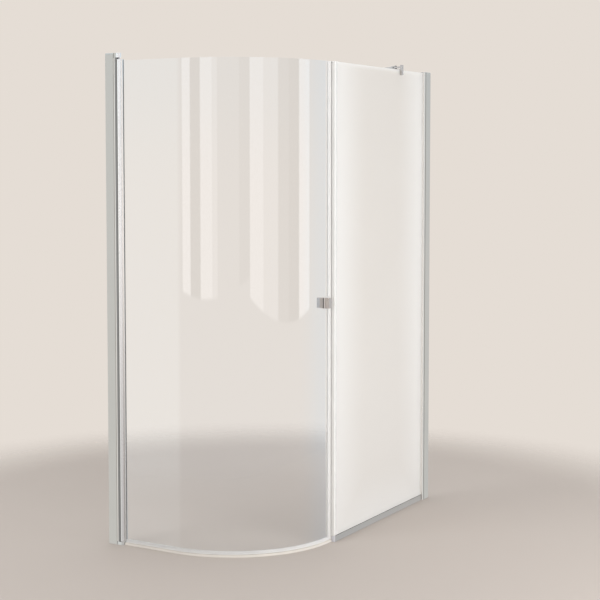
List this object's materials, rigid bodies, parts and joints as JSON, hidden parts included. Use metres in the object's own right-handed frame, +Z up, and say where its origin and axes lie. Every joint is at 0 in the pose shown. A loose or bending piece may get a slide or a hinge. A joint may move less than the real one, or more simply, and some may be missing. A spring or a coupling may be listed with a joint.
{
  "type": "shower enclosure",
  "caption": "Quadrant shower enclosure with a curved clear glass hinged door, a frosted fixed side panel, wall channels, a floor strip and a stabiliser bar.",
  "frame": {"origin": "on the floor, under the middle of the enclosure's outline", "axes": "+Z up, -Y towards the room in front of the door, +Y to the back wall, -X to the hinge wall"},
  "size_m": [0.812, 1.398, 2.03],
  "materials": {
    "satin_aluminium": "satin silver anodised",
    "polished_chrome": "polished",
    "clear_glass": "clear polished, faint blue-grey tint",
    "frosted_glass": "frosted",
    "white_seal": "translucent white, soft",
    "grey_gasket": "matt grey",
    "nylon": "moulded, pale",
    "magnet_rubber": "matt brown-black magnetic strip",
    "steel": "plain stainless",
    "floor_strip_plastic": "warm white, satin",
    "cap_metal": "satin cast, silver"
  },
  "bodies": {
    "frame": {"hinge_wall_channel": "satin_aluminium", "hinge_adjust_profile": "satin_aluminium", "hinge_side_screws": "steel", "hinge_channel_cap": "cap_metal", "hinge_side_seal": "grey_gasket", "bottom_pivot_bracket": "cap_metal", "top_pivot_bracket": "polished_chrome", "pivot_bracket_screws": "steel", "bottom_pivot_pin": "steel", "lower_lift_cam": "nylon", "fixed_wall_channel": "satin_aluminium", "fixed_adjust_profile": "satin_aluminium", "fixed_side_screws": "steel", "fixed_channel_cap": "cap_metal", "fixed_glazing_gasket": "grey_gasket", "fixed_glass": "frosted_glass", "bottom_rail": "satin_aluminium", "rail_gaskets": "grey_gasket", "rail_end_cap": "nylon", "rail_joiner": "nylon", "setting_blocks": "nylon", "front_edge_seal": "white_seal", "front_edge_magnet": "magnet_rubber", "clamp_body": "polished_chrome", "clamp_pads": "grey_gasket", "clamp_screw": "steel", "panel_bar_fork": "polished_chrome", "wall_bar_fork": "polished_chrome", "stabiliser_bar": "polished_chrome", "stabiliser_pins": "steel", "bar_grub_screws": "steel", "wall_flange": "polished_chrome", "floor_strip": "floor_strip_plastic"},
    "keyed_bush": {"top_bush": "nylon"},
    "door": {"door_hinge_profile": "polished_chrome", "door_glazing_gasket": "grey_gasket", "upper_lift_cam": "nylon", "lower_pivot_bush": "nylon", "top_end_plug": "nylon", "top_pivot_pin": "steel", "door_glass": "clear_glass", "door_bottom_seal": "white_seal", "door_edge_seal": "white_seal", "door_edge_magnet": "magnet_rubber", "handle_outer_knob": "polished_chrome", "handle_outer_plate": "polished_chrome", "handle_inner_knob": "polished_chrome", "handle_gaskets": "grey_gasket", "handle_stud": "steel", "handle_sleeve": "nylon"}
  },
  "joints": [
    {"name": "door_swing", "type": "hinge", "parent": "frame", "child": "keyed_bush", "pos_m": [-0.344, -0.687, 0], "axis": [0, 0, -1], "range_deg": [0, 100]},
    {"name": "door_lift", "type": "slide", "parent": "keyed_bush", "child": "door", "axis": [0, 0, 1], "range_m": [0, 0.005]}
  ],
  "couplings": [
    {"joint": "door_lift", "follows": "door_swing", "m_per_rad": 0.00286}
  ]
}
